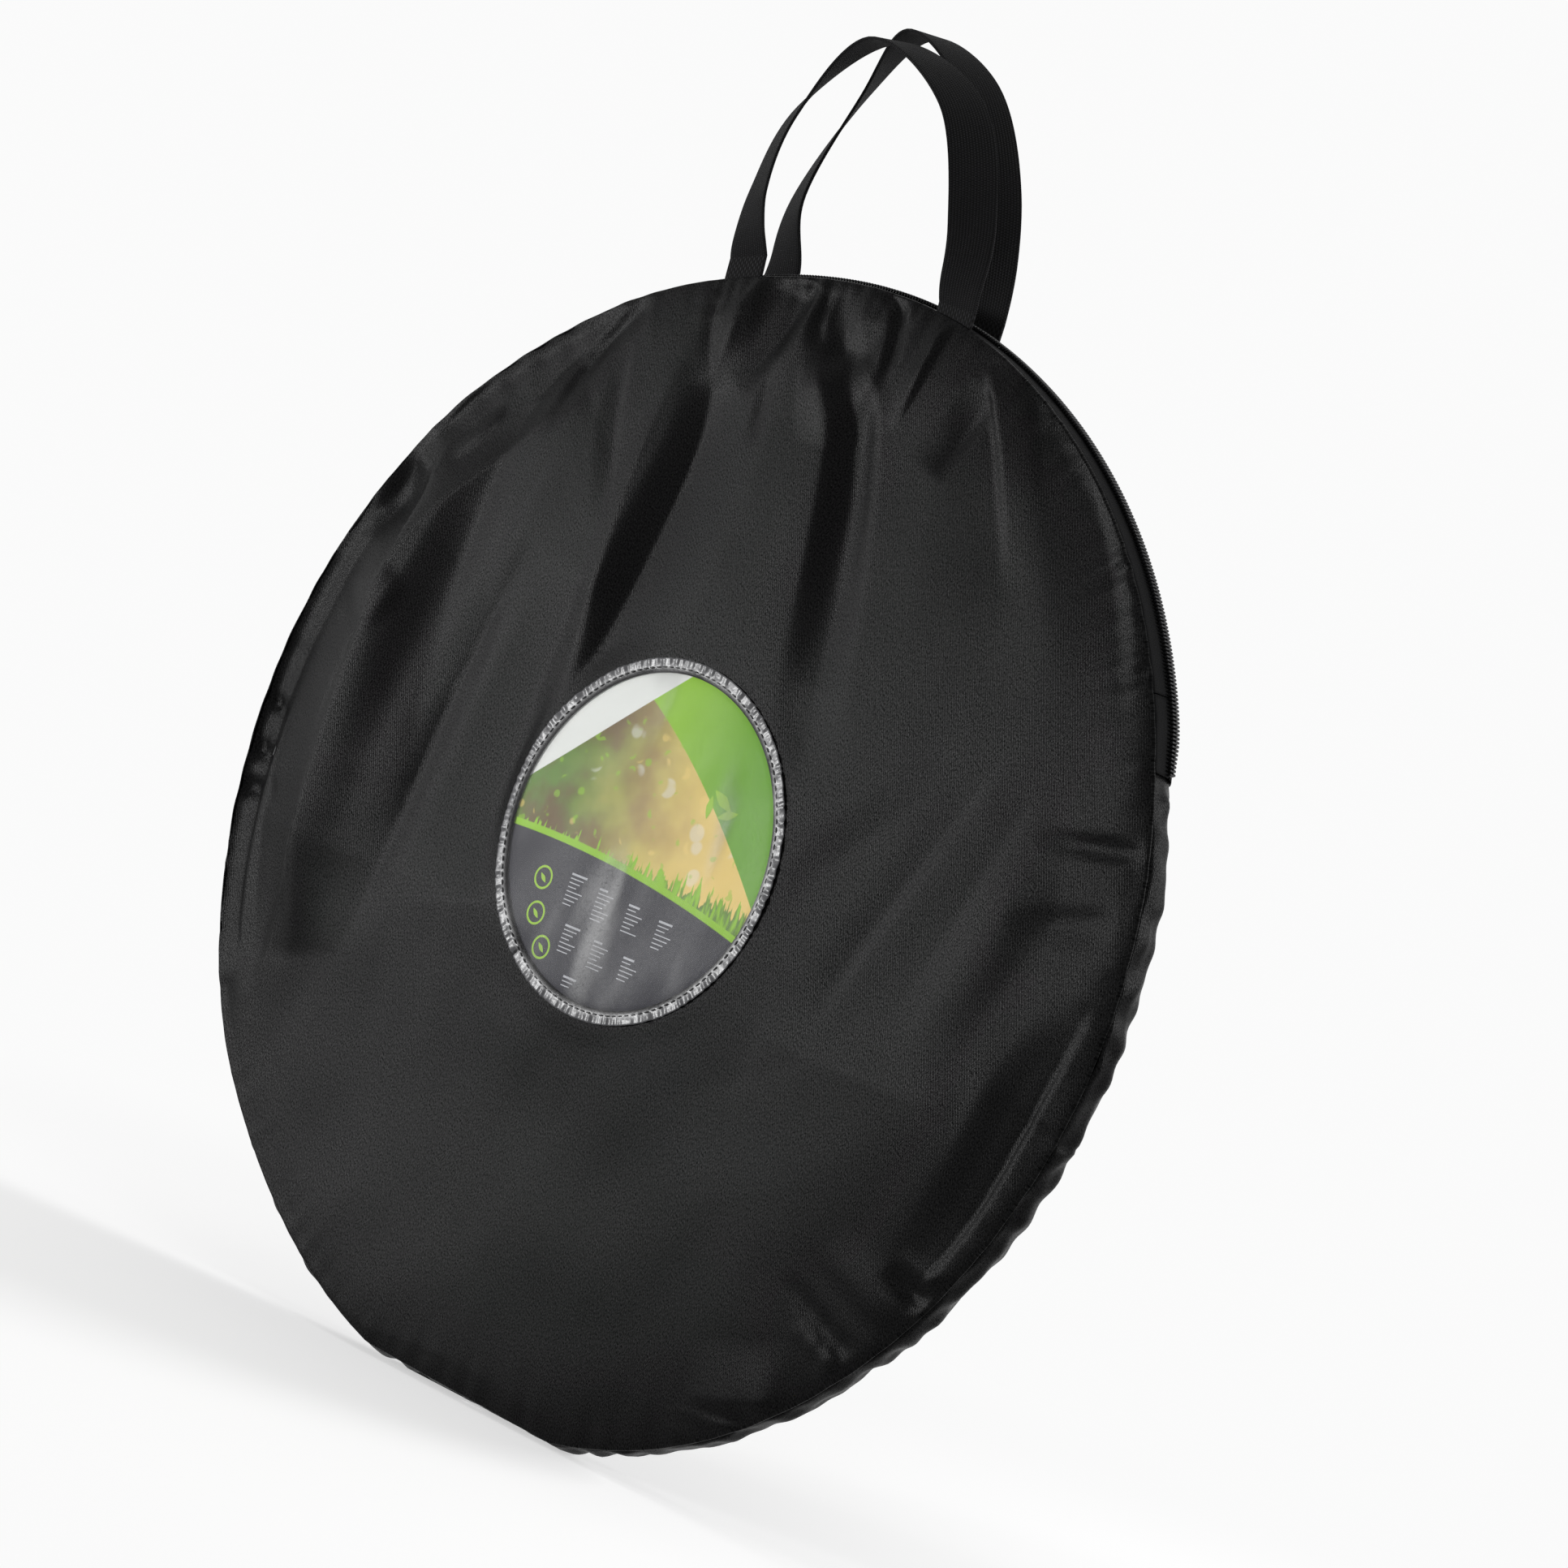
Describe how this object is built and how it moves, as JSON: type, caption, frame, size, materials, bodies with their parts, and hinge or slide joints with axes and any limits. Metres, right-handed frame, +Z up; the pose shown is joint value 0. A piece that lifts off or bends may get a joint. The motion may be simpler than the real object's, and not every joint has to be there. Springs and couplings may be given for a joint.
{
  "type": "pop-up leaf bag set in a zipped round carry case",
  "caption": "Flat round zipped carry case standing on its rim, with webbing handles, a clear window and folded spring-wire leaf bags inside.",
  "frame": {"origin": "centre of the flat underside of the rim, on the surface that the case stands on", "axes": "+Z up towards the handles, -Y the front face with the window, Y the axis of the round case, X across its width"},
  "size_m": [0.604, 0.0564, 0.7247],
  "materials": {
    "case_cloth": "satin black polyester, fine weave",
    "webbing": "matt black ribbed webbing",
    "zip_tape": "matt black woven tape",
    "zip_coil": "black nylon coil, slight gloss",
    "zip_metal": "black enamelled",
    "clear_film": "clear, glossy, slightly wavy",
    "thread": "black sewing thread",
    "printed_card": "printed, satin",
    "bag_cloth": "matt dark grey woven polypropylene",
    "spring_wire": "bright spring steel",
    "base_board": "matt black",
    "bag_webbing": "matt black webbing",
    "elastic": "black elastic",
    "toggle_plastic": "black moulded"
  },
  "bodies": {
    "case": {"front_panel": "case_cloth", "rear_panel": "case_cloth", "gusset_band": "case_cloth", "window_film": "clear_film", "window_stitching": "thread", "insert_card": "printed_card", "zip_tape_rear": "zip_tape", "zip_coil_rear": "zip_coil", "zip_end_left": "zip_tape", "zip_end_right": "zip_tape", "bag_1_spring_coil": "spring_wire", "bag_1_folded_wall": "bag_cloth", "bag_1_base_panel": "base_board", "bag_1_handle_top": "bag_webbing", "bag_1_handle_bottom": "bag_webbing", "bag_1_hold_strap_left": "elastic", "bag_1_hold_strap_right": "elastic", "bag_1_toggle_left": "toggle_plastic", "bag_1_toggle_right": "toggle_plastic", "bag_2_spring_coil": "spring_wire", "bag_2_folded_wall": "bag_cloth", "bag_2_base_panel": "base_board", "bag_2_handle_top": "bag_webbing", "bag_2_handle_bottom": "bag_webbing", "bag_2_hold_strap_left": "elastic", "bag_2_hold_strap_right": "elastic", "bag_2_toggle_left": "toggle_plastic", "bag_2_toggle_right": "toggle_plastic", "bag_3_spring_coil": "spring_wire", "bag_3_folded_wall": "bag_cloth", "bag_3_base_panel": "base_board", "bag_3_handle_top": "bag_webbing", "bag_3_handle_bottom": "bag_webbing", "bag_3_hold_strap_left": "elastic", "bag_3_hold_strap_right": "elastic", "bag_3_toggle_left": "toggle_plastic", "bag_3_toggle_right": "toggle_plastic"},
    "mouth": {"mouth_flap": "case_cloth", "zip_tape_front": "zip_tape", "zip_coil_front": "zip_coil"},
    "slider": {"zip_slider": "zip_metal"},
    "puller": {"zip_puller": "zip_metal"},
    "front_handle": {"handle_front": "webbing"},
    "rear_handle": {"handle_rear": "webbing"}
  },
  "joints": [
    {"name": "mouth_open", "type": "hinge", "parent": "case", "child": "mouth", "pos_m": [0, -0.026, 0.4409], "axis": [1, 0, 0], "range_deg": [0, 70]},
    {"name": "slider_run", "type": "hinge", "parent": "case", "child": "slider", "pos_m": [0, 0, 0.292], "axis": [0, 1, 0], "range_deg": [0, 131.18]},
    {"name": "puller_swing", "type": "hinge", "parent": "slider", "child": "puller", "pos_m": [-0.2776, 0, 0.41798], "axis": [0, 1, 0], "range_deg": [0, 150]},
    {"name": "front_handle_fold", "type": "hinge", "parent": "mouth", "child": "front_handle", "pos_m": [0, -0.0162, 0.58094], "axis": [1, 0, 0], "range_deg": [0, 150]},
    {"name": "rear_handle_fold", "type": "hinge", "parent": "case", "child": "rear_handle", "pos_m": [0, 0.0162, 0.57886], "axis": [1, 0, 0], "range_deg": [-150, 0]}
  ]
}
